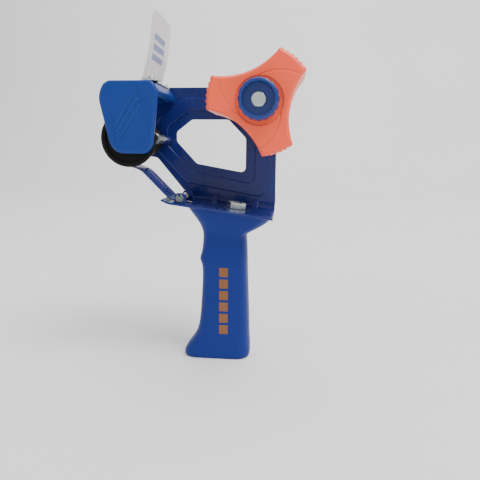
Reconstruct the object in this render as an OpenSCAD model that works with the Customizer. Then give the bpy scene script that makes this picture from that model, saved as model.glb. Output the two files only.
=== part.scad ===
// Hand-held tape dispenser: a pressed steel frame on a pistol handle, with a lobed core hub
// braked by a knob, a guarded blade, a wiper flap, a roller and a sprung tongue.
// The gun stands on its handle. +Z is up, the roller and blade are at -X, and the open side,
// where the roll goes on, is at -Y.

/* [Frame] */
// Clear width between the side plate and the open side
bay_w = 56; // [54:0.5:60]
// Thickness of the pressed steel sheet
sheet_t = 1.5; // [1.2:0.1:1.8]
// Height of the plate's top edge
plate_top = 213.4; // [212:0.1:216]
// Place of the plate's back edge
plate_back = 43.8; // [42:0.1:46]
// Fall of the bottom flange towards the back, in degrees
rail_slope = 7.8; // [7:0.1:8.5]
// Height of the flange's upper face above the handle's centre
rail_z = 121; // [120:0.1:122]
// Height of the embossed band round the window
emboss_h = 1; // [0.6:0.1:1.2]

/* [Handle] */
// Length of the handle's base
base_l = 52; // [48:1:54]
// Width of the handle's base
base_w = 30; // [28:1:32]
// Width of the grip
grip_w = 27; // [25:1:29]

/* [Core hub] */
// Outside radius of the hub's lobes
hub_r = 38; // [37:0.1:38.5]
// Smallest radius of the hub, between its lobes
waist_r = 21.5; // [20:0.5:23]
// Length of the hub
hub_l = 49; // [47:0.5:49.5]
// Wall of the hollow hub
hub_wall = 2.2; // [1.8:0.1:2.6]
// Radius of the tension knob
knob_r = 13.9; // [13:0.1:14.5]

/* [Roller] */
// Radius of the roller's rubber
roller_r = 12.8; // [12:0.1:13.2]
// Radius of the disc at the roller's open end
disc_r = 20.2; // [19:0.1:20.4]

/* [Blade and guard] */
// Thickness of the guard's cheek
cheek_t = 3.2; // [2.8:0.1:3.3]
// Pitch of the blade's teeth
tooth_pitch = 2.6; // [2:0.1:3]
// Depth of the blade's teeth
tooth_depth = 2.2; // [1.8:0.1:2.6]

/* [Flap and tongue] */
// Thickness of the flap's sheet
flap_t = 0.6; // [0.5:0.1:0.8]
// Width of the flap
flap_w = 50; // [46:1:52]
// Thickness of the tongue's strip
tongue_t = 1; // [0.8:0.1:1.2]
// Width of the tongue
tongue_w = 26; // [24:1:26]

/* [Hidden] */
$fn = 64;
eps = 0.01;

open_y = -bay_w / 2;                    // the open side
plate_y = bay_w / 2;                    // the plate's inner face
back_y = plate_y + sheet_t;             // the plate's outer face
hub_at = [32.7, 197.2];                 // hub axis in X and Z
roller_at = [-62.4, 171.2];             // roller axis
tongue_at = [-25.5, 128.2];             // tongue's hinge pin
bolt_x = 14;                            // where the handle's bolt meets the flange
bend_r = 2;                             // inner radius of the flange's bend
window = [[-25.5, 188.1], [4.7, 188.1], [19, 173.4], [19, 145.3], [-21.7, 152.5], [-38.4, 170.5],
    [-38.4, 178.2]];
rib_out = 17;                           // from the window to the embossed band's outer edge
rib_in = 7.5;                           // from the window to the band's inner edge
m8_r = 4;
m8_af = 13;
m6_r = 3;
m6_af = 10;
run = 0.06;                             // running clearance on a shaft
blade_slope = 7;                        // the blade falls towards the front, in degrees
blade_at = [-52, 211];                  // the blade's lower back edge in X and Z
flap_pts = [[-50.6, 212.4, 0], [-45.4, 232, 90], [-41, 260, 0]];
tongue_pts = [[-27.3, 126, 0], [-34.6, 128.4, 9], [-54.6, 148.6, 14], [-68, 153.2, 0]];
tongue_y = open_y + 7.7;                // the tongue's near edge
coil_sides = 8;
coil_steps = 24;                        // points in each turn of a coil

// ---------- outlines ----------

function unit(v) = v / norm(v);

// The arc that rounds corner b, between its neighbours a and c. b's third value is the radius.
function corner(a, b, c, n = 6) =
    let (p = [b[0], b[1]], u = unit([a[0], a[1]] - p), w = unit([c[0], c[1]] - p),
        half = acos(u * w) / 2, mid = p + unit(u + w) * b[2] / sin(half),
        s = p + u * b[2] / tan(half) - mid, e = p + w * b[2] / tan(half) - mid,
        from = atan2(s[1], s[0]), turn = (atan2(e[1], e[0]) - from + 540) % 360 - 180)
    [for (i = [0:n]) mid + b[2] * [cos(from + turn * i / n), sin(from + turn * i / n)]];

function sharp(b) = len(b) < 3 || b[2] == 0;

// A closed outline whose corners are rounded by their own radii
function rounded(pts) = let (k = len(pts)) [for (i = [0:k - 1])
    each sharp(pts[i]) ? [[pts[i][0], pts[i][1]]]
        : corner(pts[(i + k - 1) % k], pts[i], pts[(i + 1) % k])];

// An open line whose inner corners are rounded
function bent(pts) = let (k = len(pts)) [for (i = [0:k - 1])
    each (i == 0 || i == k - 1 || sharp(pts[i])) ? [[pts[i][0], pts[i][1]]]
        : corner(pts[i - 1], pts[i], pts[i + 1], 10)];

// Give every corner of an outline the same radius
function with_radius(pts, r) = [for (p = pts) [p[0], p[1], r]];

// Where the lines p + s*u and q + t*w meet
function meet(p, u, q, w) = p + u * ((q - p)[0] * w[1] - (q - p)[1] * w[0]) / (u[0] * w[1] - u[1] * w[0]);

// A clockwise outline grown outwards by d
function grown(pts, d) = let (k = len(pts)) [for (i = [0:k - 1])
    let (a = pts[(i + k - 1) % k], b = pts[i], c = pts[(i + 1) % k],
        u = unit(b - a), w = unit(c - b))
    meet(b + d * [-u[1], u[0]], u, b + d * [-w[1], w[0]], w)];

// The normal of an open line at point i
function side(pts, i) = let (k = len(pts), v = unit(pts[min(i + 1, k - 1)] - pts[max(i - 1, 0)]))
    [-v[1], v[0]];

// A strip of thickness t that follows an open line
function ribbon(pts, t) = concat([for (i = [0:len(pts) - 1]) pts[i] + side(pts, i) * t / 2],
    [for (i = [len(pts) - 1:-1:0]) pts[i] - side(pts, i) * t / 2]);

// ---------- solids ----------

// An outline drawn in X and Z, extruded from y0 to y1
module slab(y0, y1) {
    translate([0, y1, 0]) rotate([90, 0, 0]) linear_extrude(y1 - y0) children();
}

// A cylinder along Y, from y0 to y1, about a point given in X and Z
module rod(at, y0, y1, r, r2 = -1, fn = 64) {
    translate([at[0], y0, at[1]]) rotate([-90, 0, 0])
        cylinder(h = y1 - y0, r1 = r, r2 = r2 < 0 ? r : r2, $fn = fn);
}

// A washer or tube along Y
module ring(at, y0, y1, r, bore) {
    difference() {
        rod(at, y0, y1, r);
        rod(at, y0 - 1, y1 + 1, bore);
    }
}

// A hexagon along Y, by its width across flats
module hex(at, y0, y1, af) {
    rod(at, y0, y1, af / 2 / cos(30), fn = 6);
}

module hex_nut(at, y0, y1, af, bore) {
    intersection() {
        difference() {
            hex(at, y0, y1, af);
            rod(at, y0 - 1, y1 + 1, bore);
        }
        union() {
            rod(at, y0, y0 + 0.6, af * 0.49, af * 0.58);
            rod(at, y0 + 0.59, y1 - 0.59, af * 0.58);
            rod(at, y1 - 0.6, y1, af * 0.58, af * 0.49);
        }
    }
}

// A coil about Z that starts at height 0
module coil(r, wire, pitch, turns) {
    steps = turns * coil_steps;
    points = [for (i = [0:steps]) let (a = 360 * i / coil_steps)
        for (j = [0:coil_sides - 1]) let (b = 360 * j / coil_sides, d = r + wire / 2 * cos(b))
        [d * cos(a), d * sin(a), pitch * i / coil_steps + wire / 2 * sin(b)]];
    wall = [for (i = [0:steps - 1]) for (j = [0:coil_sides - 1])
        let (k = (j + 1) % coil_sides, a = i * coil_sides, b = a + coil_sides)
        [a + j, b + j, b + k, a + k]];
    polyhedron(points = points, faces = concat(wall, [[for (j = [0:coil_sides - 1]) j]],
        [[for (j = [coil_sides - 1:-1:0]) steps * coil_sides + j]]));
}

// Move to a place on the flange's upper face, with +Z along its normal
module on_flange(x) {
    translate([x, 0, rail_z - x * tan(rail_slope)]) rotate([0, rail_slope, 0]) children();
}

// A pan-head screw that points down from its seat at the origin
module screw(head_r, head_h, shank_r, length) {
    difference() {
        union() {
            cylinder(h = head_h * 0.5, r = head_r);
            translate([0, 0, head_h * 0.5]) cylinder(h = head_h * 0.5, r1 = head_r, r2 = head_r * 0.7);
            translate([0, 0, -length + 1]) cylinder(h = length - 1 + eps, r = shank_r);
            translate([0, 0, -length]) cylinder(h = 1 + eps, r1 = shank_r * 0.4, r2 = shank_r);
        }
        for (a = [0, 90]) rotate(a)
            translate([-head_r * 0.55, -0.4, head_h * 0.5]) cube([head_r * 1.1, 0.8, head_h]);
    }
}

// ---------- frame ----------

plate_pts = [[plate_back, plate_top, 6], [plate_back, rail_z - 2, 0], [-33, rail_z + 8, 0],
    [-33, 130.8, 4], [-55, 157.2, 5], [-70, 159.5, 10], [-77, 172, 12], [-75, 192, 12],
    [-64, plate_top, 8]];

module emboss(grow) {
    difference() {
        polygon(rounded(with_radius(grown(window, rib_out - grow), 6)));
        polygon(rounded(with_radius(grown(window, rib_in + grow), 5)));
        translate(hub_at) circle(r = 17);
    }
}

module flange() {
    // the bent strip, as a section across the flange that runs along the bend
    leg = 14;
    o = bend_r + sheet_t;
    arc_in = [for (a = [0:15:90]) [plate_y - bend_r + bend_r * cos(a), bend_r - bend_r * sin(a)]];
    arc_out = [for (a = [90:-15:0]) [plate_y - bend_r + o * cos(a), bend_r - o * sin(a)]];
    section = concat([[plate_y, leg]], arc_in, [[open_y, 0], [open_y, -sheet_t]], arc_out,
        [[back_y, leg]]);
    intersection() {
        on_flange(0) rotate([90, 0, 90]) translate([0, 0, -60]) linear_extrude(120) polygon(section);
        translate([-32, -60, 90]) cube([plate_back + 31.8, 120, 60]);
    }
}

// The flange's front edge turns up into a lip, slightly thinned where it leaves the flange
module lip() {
    z = rail_z + 32 * tan(rail_slope) - sheet_t / 2 / cos(rail_slope);
    path = bent([[-31, z - tan(rail_slope), 0], [-34, z + 0.5, 8], [-38.2, z + 2.7, 0]]);
    slab(open_y + 0.05, open_y + 38) polygon(ribbon(path, sheet_t - 0.1));
}

// A pressed dimple that stiffens the bend
module gusset(x) {
    on_flange(x) translate([-2.2, plate_y, 0]) rotate([90, 0, 90])
        linear_extrude(4.4) polygon([[0.5, -0.5], [-6.5, -0.5], [-6.5, 0], [0, 6.5], [0.5, 6.5]]);
}

module pin_lug(y) {
    difference() {
        slab(y, y + sheet_t) polygon(rounded([[-30.5, 124.4, 0], [-29.2, 132, 3], [-21.8, 132, 3],
            [-20.5, 123.2, 0]]));
        rod(tongue_at, y - 1, y + 3, 1.5);
    }
}

module frame_plate() {
    color("#1c3fa0") {
        difference() {
            union() {
                slab(plate_y, back_y) polygon(rounded(plate_pts));
                slab(plate_y - emboss_h, plate_y + eps) emboss(0);
            }
            slab(plate_y - 5, back_y + 5) polygon(rounded(with_radius(window, 4)));
            slab(back_y - emboss_h, back_y + 1) emboss(1);
            rod(hub_at, plate_y - 5, back_y + 1, m6_r + 0.3);
            rod(roller_at, plate_y - 5, back_y + 1, m6_r);
            for (x = [-55, -43.5]) rod([x, 206], plate_y - 5, back_y + 1, 1.8);
            translate([-100, plate_y - 20, 0]) cube([200, 40, 100]);
            on_flange(0) translate([-80, plate_y - 9, -40]) cube([160, 20, 45]);
        }
        difference() {
            flange();
            on_flange(bolt_x) translate([0, 0, -5]) cylinder(h = 10, r = m8_r);
        }
        for (x = [-6, 27]) gusset(x);
        lip();
        for (y = [tongue_y - 2, tongue_y + tongue_w + 0.5]) pin_lug(y);
    }
}

// ---------- handle ----------

// A thin slice of the handle, given as its height, front, back, width and corner radius
module slice(s) {
    for (x = [s[1] + s[4], s[2] - s[4]], y = [s[4] - s[3] / 2, s[3] / 2 - s[4]])
        translate([x, y, s[0]]) cylinder(h = 0.2, r = s[4], $fn = 28);
}

slices = [[0, -base_l / 2, base_l / 2, base_w, 10], [28, -13.6, 25.4, grip_w + 1, 10],
    [75, -11.8, 23.7, grip_w, 9], [80.4, -13.6, 23.5, grip_w, 9], [87, -11.6, 23.1, grip_w, 9],
    [100, -11, 22.6, grip_w, 9], [111, -15.2, 41.2, 37, 9], [125, -26, 43.6, 42, 9]];

module handle() {
    color("#2a5fc4") difference() {
        for (i = [0:len(slices) - 2]) hull() {
            slice(slices[i]);
            slice(slices[i + 1]);
        }
        on_flange(0) translate([-80, -40, -sheet_t]) cube([160, 80, 40]);
        on_flange(bolt_x) {
            translate([0, 0, -70]) cylinder(h = 80, r = m8_r + 0.2);
            translate([-6.7, -7.9, -56]) cube([13.4, 40, 8.6]);
        }
    }
}

module handle_bolt() {
    color("silver") on_flange(bolt_x) {
        intersection() {
            cylinder(h = 5.3, r = m8_af / 2 / cos(30), $fn = 6);
            union() {
                cylinder(h = 4.3, r = m8_af * 0.58);
                translate([0, 0, 4.3]) cylinder(h = 1, r1 = m8_af * 0.58, r2 = m8_af * 0.48);
            }
        }
        translate([0, 0, -64]) cylinder(h = 64 + eps, r = m8_r);
        translate([0, 0, -65]) cylinder(h = 1 + eps, r1 = m8_r - 1, r2 = m8_r);
    }
}

module handle_washer() {
    color("gainsboro") on_flange(bolt_x) translate([0, 0, -49]) difference() {
        cylinder(h = 1.6, r = 6.5);
        translate([0, 0, -1]) cylinder(h = 4, r = m8_r);
    }
}

module handle_nut() {
    color("silver") on_flange(bolt_x) translate([0, 0, -55.5]) difference() {
        rotate(30) cylinder(h = 6.5, r = m8_af / 2 / cos(30), $fn = 6);
        translate([0, 0, -1]) cylinder(h = 9, r = m8_r);
    }
}

// ---------- guard, blade and flap ----------

cheek_y = open_y + cheek_t;             // the cheek's inner face
cheek_pts = [[-78, 211.5, 8], [-83.2, 201, 16], [-75.3, 166, 13], [-69.5, 160.2, 10],
    [-48, 160.2, 7], [-43.6, 165, 9], [-38.8, 204.6, 12], [-43, 211.5, 5]];
stud_at = [-45.2, 171.7];               // the guide stud, just clear of the roller's rubber
post_y = 7;                             // the near end of the stud's post
bar_pts = [[-39.1, 204.6, 4], [-43, 211.5, 5], [-52, 211.5, 0], [-52, 211, 0], [-66, 209.28, 1],
    [-66, 206, 2], [-60, 201, 2], [-40, 201, 2]];
clamp_x = -45.6;                        // the flap's screws
clamp_ys = [-19, 19];
blade_ys = [-14, 14];
grips = [[[-54.6, 204.2], [-70.2, 180]], [[-53.7, 198.7], [-69.2, 175.7]],
    [[-52.5, 193.5], [-67, 171.4]]];

// A raised grip line between two points
module grip_line(a, b) {
    v = b - a;
    translate(a) rotate(atan2(v[1], v[0])) {
        translate([0, -0.6]) square([norm(v), 1.2]);
        for (x = [0, norm(v)]) translate([x, 0]) circle(r = 0.6, $fn = 24);
    }
}

module side_guard() {
    color("#3a6fd8") {
        difference() {
            union() {
                slab(open_y, cheek_y) polygon(rounded(cheek_pts));
                slab(cheek_y - eps, plate_y) polygon(rounded(bar_pts));
            }
            // the bar is cored out from below, between its screw bosses
            difference() {
                slab(cheek_y + 3, plate_y - 12) polygon([[-58, 195], [-58, 207.6], [-42.5, 208.5],
                    [-42.5, 195]]);
                for (y = clamp_ys) translate([clamp_x, y, 195]) cylinder(h = 20, r = 3.2);
            }
            for (x = [-55, -43.5]) rod([x, 206], plate_y - 6.8, plate_y + 1, 1.5);
            for (y = clamp_ys) translate([clamp_x, y, 203]) cylinder(h = 20, r = 1.5);
            for (y = blade_ys) on_blade(-8, y) translate([0, 0, -7]) cylinder(h = 9, r = 1.5);
        }
        for (g = grips) slab(open_y - 0.6, open_y + eps) grip_line(g[0], g[1]);
    }
}

module guard_screws() {
    color("silver") for (x = [-55, -43.5])
        translate([x, back_y, 206]) rotate([-90, 0, 0]) screw(3.2, 2.2, 1.5, 8);
}

// A post welded to the plate, tapped for the stud
module stud_post() {
    color("#1c3fa0") difference() {
        rod(stud_at, post_y, plate_y, 3);
        rod(stud_at, post_y - 1, post_y + 6.5, 2);
        // its foot is notched over the embossed band
        slab(plate_y - emboss_h, plate_y + 1) emboss(0);
    }
}

module guide_stud() {
    color("silver") {
        rod(stud_at, post_y - 23, post_y - 22.2, 3.1, 3.9);
        rod(stud_at, post_y - 22.21, post_y - 15, 3.9);
        rod(stud_at, post_y - 15.01, post_y, 3.3);
        rod(stud_at, post_y - eps, post_y + 6, 2);
    }
}

// A place on the blade: x along it from its back edge, with +Z off its lower face
module on_blade(x, y = 0) {
    translate([blade_at[0], y, blade_at[1]]) rotate([0, -blade_slope, 0]) translate([x, 0, 0])
        children();
}

module blade() {
    y0 = cheek_y + 0.3;
    y1 = plate_y - 0.4;
    teeth = floor((y1 - y0) / tooth_pitch);
    step = (y1 - y0) / teeth;
    front = -29;
    zigzag = [for (i = [0:teeth - 1]) each [[front + tooth_depth, y0 + i * step],
        [front, y0 + (i + 0.5) * step]]];
    color("#c8ccd0") difference() {
        on_blade(0) linear_extrude(0.9)
            polygon(concat([[-0.3, y1], [-0.3, y0]], zigzag, [[front + tooth_depth, y1]]));
        for (y = blade_ys) on_blade(-8, y) translate([0, 0, -1]) cylinder(h = 3, r = 1.5);
    }
}

module blade_screws() {
    color("silver") for (y = blade_ys) on_blade(-8, y) translate([0, 0, 0.9])
        screw(3, 1.9, 1.5, 7);
}

module flap() {
    color("white", 0.6) slab(-flap_w / 2, flap_w / 2) polygon(ribbon(bent(flap_pts), flap_t));
}

module flap_foot() {
    color("white", 0.6) difference() {
        translate([-50.4, -flap_w / 2, 211.5]) cube([7.2, flap_w, flap_t]);
        for (y = clamp_ys) translate([clamp_x, y, 210]) cylinder(h = 4, r = 1.5);
    }
}

module flap_clamp() {
    color("#c8ccd0") difference() {
        translate([-49.2, -22.5, 211.5 + flap_t]) cube([5.8, 45, 1]);
        for (y = clamp_ys) translate([clamp_x, y, 210]) cylinder(h = 4, r = 1.5);
    }
}

module flap_screws() {
    color("silver") for (y = clamp_ys) translate([clamp_x, y, 212.5 + flap_t])
        screw(2.4, 1.9, 1.5, 10);
}

// ---------- core hub and brake ----------

hub_y = open_y + hub_l;                 // the hub's far end
flank_d = 73;                           // from the hub's axis to the axis of a flank's curve
flank_r = flank_d - waist_r;
lobe_turn = 51;                         // direction of the first lobe, in degrees
dish_y = open_y + 1.5;                  // floor of the dish under the knob
pocket_y = dish_y + 10.5;               // floor of the spring's pocket

// The three-lobed outline in X and Z, drawn in by a wall
module lobes(wall) {
    difference() {
        circle(r = hub_r - wall, $fn = 128);
        for (i = [0:2]) rotate(lobe_turn + 60 + 120 * i) translate([flank_d, 0])
            circle(r = flank_r + wall, $fn = 128);
    }
}

// A shallow curved crease across a lobe's near face
module crease(turn) {
    translate([hub_at[0], open_y - 0.3, hub_at[1]]) rotate([0, -turn, 0]) intersection() {
        translate([1.4, 0, -16.9]) rotate([90, 0, 0]) rotate_extrude($fn = 96)
            translate([30, 0]) circle(r = 0.75, $fn = 16);
        translate([12, -2, -16]) cube([28, 4, 32]);
    }
}

module core_hub() {
    color("#ff5a2a") difference() {
        union() {
            difference() {
                slab(open_y, hub_y) translate(hub_at) lobes(0);
                slab(open_y + 3.5, hub_y + 1) translate(hub_at) lobes(hub_wall);
            }
            rod(hub_at, open_y + 3, pocket_y + 2.5, 12.6);
            rod(hub_at, open_y + 3, hub_y, 9);
            // a web joins the tube to each lobe's end
            for (i = [0:2]) translate([hub_at[0], 0, hub_at[1]]) rotate([0, -lobe_turn - 120 * i, 0])
                translate([6, open_y + 3, -0.9]) cube([hub_r - 7.5, hub_l - 6, 1.8]);
        }
        // chamfers round the near face
        difference() {
            rod(hub_at, open_y - 1, open_y + 3, hub_r + 5);
            rod(hub_at, open_y - 1.5, open_y + 3.5, hub_r - 4, hub_r + 1);
        }
        for (i = [0:2]) let (a = lobe_turn + 60 + 120 * i)
            rod(hub_at + flank_d * [cos(a), sin(a)], open_y - 1, open_y + 2.1, flank_r + 2.8,
                flank_r - 0.3);
        for (i = [0:2]) crease(lobe_turn + 120 * i);
        // grooves along the lobes' ends
        for (i = [0:2], k = [-2:2]) let (a = lobe_turn + 120 * i + 6 * k)
            rod(hub_at + (hub_r + 0.4) * [cos(a), sin(a)], open_y - 1, hub_y + 1, 1.2, fn = 24);
        rod(hub_at, open_y - 1, dish_y, 17);
        rod(hub_at, open_y - 1, pocket_y, 10.2);
        rod(hub_at, open_y - 1, hub_y + 1, 6.2);
    }
}

module hub_bush() {
    color("ivory") ring(hub_at, pocket_y, hub_y, 6.2, m6_r + run);
}

// The nut that the tension bolt threads through, welded on the plate's outer face
module frame_nut() {
    color("silver") hex_nut(hub_at, back_y, back_y + 5, m6_af, m6_r + run);
}

// The brake's washers press against the plate through this
module hub_spacer() {
    color("silver") ring(hub_at, plate_y - 4, plate_y, 8, m6_r + run);
}

module backing_washer() {
    color("gainsboro") ring(hub_at, plate_y - 5.4, plate_y - 4, 12, m6_r + run);
}

module friction_washer() {
    color("#8a5a34") ring(hub_at, hub_y + 0.1, plate_y - 5.4, 12, m6_r + run);
}

module pressure_washer() {
    color("gainsboro") ring(hub_at, pocket_y - 1.9, pocket_y - 0.1, 9.6, m6_r + run);
}

spring_y = pocket_y - 1.9;              // the spring's far end
thrust_y = open_y - 0.8;                // the thrust washer's inner face
spring_wire = 1.6;

module brake_spring() {
    turns = 4;
    pitch = (spring_y - thrust_y - spring_wire - 0.1) / turns;
    color("lightsteelblue") translate([hub_at[0], spring_y - spring_wire / 2 - 0.05, hub_at[1]])
        rotate([90, 0, 0]) coil(7, spring_wire, pitch, turns);
}

module thrust_washer() {
    color("gainsboro") ring(hub_at, thrust_y - 1.4, thrust_y, 9.6, m6_r + run);
}

knob_y = thrust_y - 1.5;                // the knob's underside
knob_l = 11.8;
face_y = knob_y - knob_l;               // the knob's near face
head_y = face_y + 8;                    // underside of the bolt's head
scallops = 16;
scallop_r = 4;

module tension_knob() {
    color("#173a96") difference() {
        union() {
            rod(hub_at, face_y + 1.2, knob_y - 1, knob_r);
            rod(hub_at, face_y, face_y + 1.21, knob_r - 1.2, knob_r);
            rod(hub_at, knob_y - 1.01, knob_y, knob_r, knob_r - 1);
        }
        for (i = [0:scallops - 1]) let (a = 360 * (i + 0.5) / scallops)
            rod(hub_at + (knob_r + scallop_r - 0.4) * [cos(a), sin(a)], face_y - 1, knob_y + 1,
                scallop_r, fn = 48);
        rod(hub_at, face_y - 1, face_y + 5.5, 11.4, 10.9);
        hex(hub_at, face_y + 5, head_y, m6_af);
        rod(hub_at, face_y, knob_y + 1, m6_r);
    }
}

// The bolt turns with the knob: its head sits in the knob, and it threads through the frame's nut
module tension_bolt() {
    color("silver") {
        intersection() {
            hex(hub_at, head_y - 4, head_y, m6_af);
            union() {
                rod(hub_at, head_y - 4, head_y - 3.2, m6_af * 0.46, m6_af * 0.58);
                rod(hub_at, head_y - 3.21, head_y, m6_af * 0.58);
            }
        }
        rod(hub_at, head_y - eps, back_y + 6, m6_r);
        rod(hub_at, back_y + 5.99, back_y + 6.6, m6_r, m6_r - 0.6);
    }
}

// ---------- roller ----------

disc_y = cheek_y + 0.4;                 // near face of the roller's disc
disc_t = 3;
core_y = plate_y - 2.5;                 // far end of the roller's core

module roller_axle() {
    color("silver") {
        rod(roller_at, disc_y + 2, disc_y + 5, 6.4);
        rod(roller_at, disc_y + 4.9, plate_y, m8_r);
        rod(roller_at, plate_y - eps, back_y + 6.5, m6_r);
    }
}

module roller_axle_nut() {
    color("silver") hex_nut(roller_at, back_y, back_y + 5, m6_af, m6_r);
}

module roller_spacer() {
    color("gainsboro") ring(roller_at, core_y + 0.3, plate_y, 7, m8_r);
}

module roller_core() {
    color("#1a1a1c") difference() {
        union() {
            rod(roller_at, disc_y, disc_y + 0.8, disc_r - 0.8, disc_r);
            rod(roller_at, disc_y + 0.79, disc_y + disc_t, disc_r);
            rod(roller_at, disc_y + disc_t - eps, core_y, 9.5);
        }
        rod(roller_at, disc_y - 1, disc_y + 5.2, 7);
        rod(roller_at, disc_y - 1, core_y + 1, m8_r + run);
        // lightening groove in the disc's outer face
        difference() {
            rod(roller_at, disc_y - 1, disc_y + 1.2, disc_r - 3);
            rod(roller_at, disc_y - 2, disc_y + 2, 9.5);
        }
    }
}

module roller_sleeve() {
    color("#26262a") ring(roller_at, disc_y + disc_t, core_y - 0.8, roller_r, 9.5);
}

// ---------- tongue ----------

spring_gap = [tongue_y + 9, tongue_y + 17];     // the knuckle is cut away for the spring

module tongue() {
    far = tongue_y + tongue_w;
    mid = (tongue_y + far) / 2;
    rib = [[-39.5, 133.8], [-53.4, 147.9]];
    run_v = rib[1] - rib[0];
    color("#1f4ab0") difference() {
        union() {
            rod(tongue_at, tongue_y, far, 2.9);
            slab(tongue_y, far) polygon(ribbon(bent(tongue_pts), tongue_t));
            translate([rib[0][0], mid, rib[0][1]]) rotate([0, atan2(run_v[0], run_v[1]), 0]) {
                cylinder(h = norm(run_v), r = 1.8, $fn = 32);
                sphere(r = 1.8, $fn = 32);
                translate([0, 0, norm(run_v)]) sphere(r = 1.8, $fn = 32);
            }
        }
        rod(tongue_at, tongue_y - 1, far + 1, 1.5 + run);
        rod(tongue_at, spring_gap[0], spring_gap[1], 4.2);
    }
}

module tongue_pin() {
    color("silver") rod(tongue_at, tongue_y - 3.6, tongue_y + tongue_w + 3.6, 1.5);
}

module pin_clips() {
    color("dimgray") for (y = [tongue_y - 2.8, tongue_y + tongue_w + 2.1])
        difference() {
            ring(tongue_at, y, y + 0.7, 3, 1.5);
            translate([tongue_at[0] - 0.7, y - 1, tongue_at[1]]) cube([1.4, 3, 4]);
        }
}

module tongue_spring() {
    wire = 0.8;
    turns = 6;
    pitch = 1;
    length = turns * pitch;
    start = (spring_gap[0] + spring_gap[1] + length) / 2;
    color("lightsteelblue") translate([tongue_at[0], start, tongue_at[1]]) rotate([90, 0, 0])
        coil(2.6, wire, pitch, turns);
}

frame_plate();
handle();
handle_bolt();
handle_washer();
handle_nut();
side_guard();
guard_screws();
stud_post();
guide_stud();
blade();
blade_screws();
flap();
flap_foot();
flap_clamp();
flap_screws();
frame_nut();
hub_spacer();
backing_washer();
friction_washer();
core_hub();
hub_bush();
pressure_washer();
brake_spring();
thrust_washer();
tension_knob();
tension_bolt();
roller_axle();
roller_axle_nut();
roller_spacer();
roller_core();
roller_sleeve();
tongue();
tongue_pin();
pin_clips();
tongue_spring();
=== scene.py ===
"""Looks for a hand-held tape dispenser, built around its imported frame.

The frame gives every place and size. Each sub-assembly is a class that builds its meshes,
rounds their edges and dresses them in their finishes. All lengths are in metres.
"""
import logging
import math
from collections.abc import Callable, Iterator, Sequence
from contextlib import contextmanager
from dataclasses import dataclass
from enum import Enum
from typing import Any

import bmesh
import bpy
from mathutils import Matrix, Vector


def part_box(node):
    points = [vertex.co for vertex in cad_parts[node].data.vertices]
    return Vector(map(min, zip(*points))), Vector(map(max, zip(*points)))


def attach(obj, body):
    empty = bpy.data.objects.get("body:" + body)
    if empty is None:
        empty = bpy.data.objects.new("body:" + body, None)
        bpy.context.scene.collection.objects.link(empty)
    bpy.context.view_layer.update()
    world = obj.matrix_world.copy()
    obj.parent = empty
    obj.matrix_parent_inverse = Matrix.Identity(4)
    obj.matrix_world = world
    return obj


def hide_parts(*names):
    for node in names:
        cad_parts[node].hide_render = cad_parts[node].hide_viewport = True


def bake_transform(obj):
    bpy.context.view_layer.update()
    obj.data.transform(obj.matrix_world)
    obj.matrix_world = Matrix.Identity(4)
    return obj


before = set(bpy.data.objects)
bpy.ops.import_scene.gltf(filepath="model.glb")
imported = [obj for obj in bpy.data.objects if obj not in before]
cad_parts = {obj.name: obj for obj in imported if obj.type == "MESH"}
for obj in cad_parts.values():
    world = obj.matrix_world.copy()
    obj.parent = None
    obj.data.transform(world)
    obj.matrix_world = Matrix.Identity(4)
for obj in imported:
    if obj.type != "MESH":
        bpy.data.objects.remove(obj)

LOG = logging.getLogger("tape_dispenser")
MM = 0.001
FLUSH = 1e-5    # two faces nearer than this are level
SQUARE = 0.9    # an edge that turns by more than this, in radians, is a corner
Piece = bpy.types.Object
Colour = tuple[float, float, float]


class Slot(Enum):
    """The record's material slots."""

    FRAME_PAINT = "blue_steel"
    HANDLE = "handle_plastic"
    GUARD = "guard_plastic"
    HUB = "orange_plastic"
    KNOB = "knob_plastic"
    BLACK = "black_plastic"
    RUBBER = "black_rubber"
    NYLON = "nylon"
    FIBRE = "fibre"
    FLAP = "clear_plastic"
    ZINC = "zinc"
    BLADE = "blade_steel"
    SPRING = "spring_steel"


class Body(Enum):
    """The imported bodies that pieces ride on."""

    FRAME = "frame"
    HUB = "hub"
    SLIDER = "knob_slider"
    KNOB = "knob"
    ROLLER = "roller"
    TONGUE = "tongue"
    FLAP = "flap"


class Mode(Enum):
    """What edit mode selects."""

    CORNER = "VERT"
    EDGE = "EDGE"
    FACE = "FACE"


# ---------- bench work ----------


def deselect() -> None:
    """Leave nothing selected."""
    if bpy.context.object and bpy.context.object.mode != "OBJECT":
        bpy.ops.object.mode_set(mode="OBJECT")
    bpy.ops.object.select_all(action="DESELECT")


def pick(piece: Piece) -> None:
    """Select one piece alone and make it active.

    Args:
        piece: The piece to work on.
    """
    deselect()
    piece.select_set(True)
    bpy.context.view_layer.objects.active = piece


@contextmanager
def edit(piece: Piece, mode: Mode = Mode.FACE) -> Iterator[None]:
    """Open a piece in edit mode with nothing selected.

    Args:
        piece: The piece to open.
        mode: What is selected.

    Yields:
        Nothing; the piece is open until the block ends.
    """
    pick(piece)
    bpy.ops.object.mode_set(mode="EDIT")
    bpy.ops.mesh.select_mode(type=mode.value)
    bpy.ops.mesh.select_all(action="DESELECT")
    yield
    bpy.ops.object.mode_set(mode="OBJECT")


def choose(piece: Piece, mode: Mode, test: Callable[[Any], bool]) -> int:
    """Select what passes a test, in a piece that is open in edit mode.

    Args:
        piece: The open piece.
        mode: Corners, edges or faces.
        test: Given each corner, edge or face, says whether to select it.

    Returns:
        How many were selected.
    """
    mesh = bmesh.from_edit_mesh(piece.data)
    mesh.normal_update()
    kinds = {Mode.CORNER: mesh.verts, Mode.EDGE: mesh.edges, Mode.FACE: mesh.faces}
    chosen = [part for part in kinds[mode] if test(part)]
    for part in chosen:
        part.select_set(True)
    mesh.select_flush_mode()
    bmesh.update_edit_mesh(piece.data)
    return len(chosen)


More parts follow.
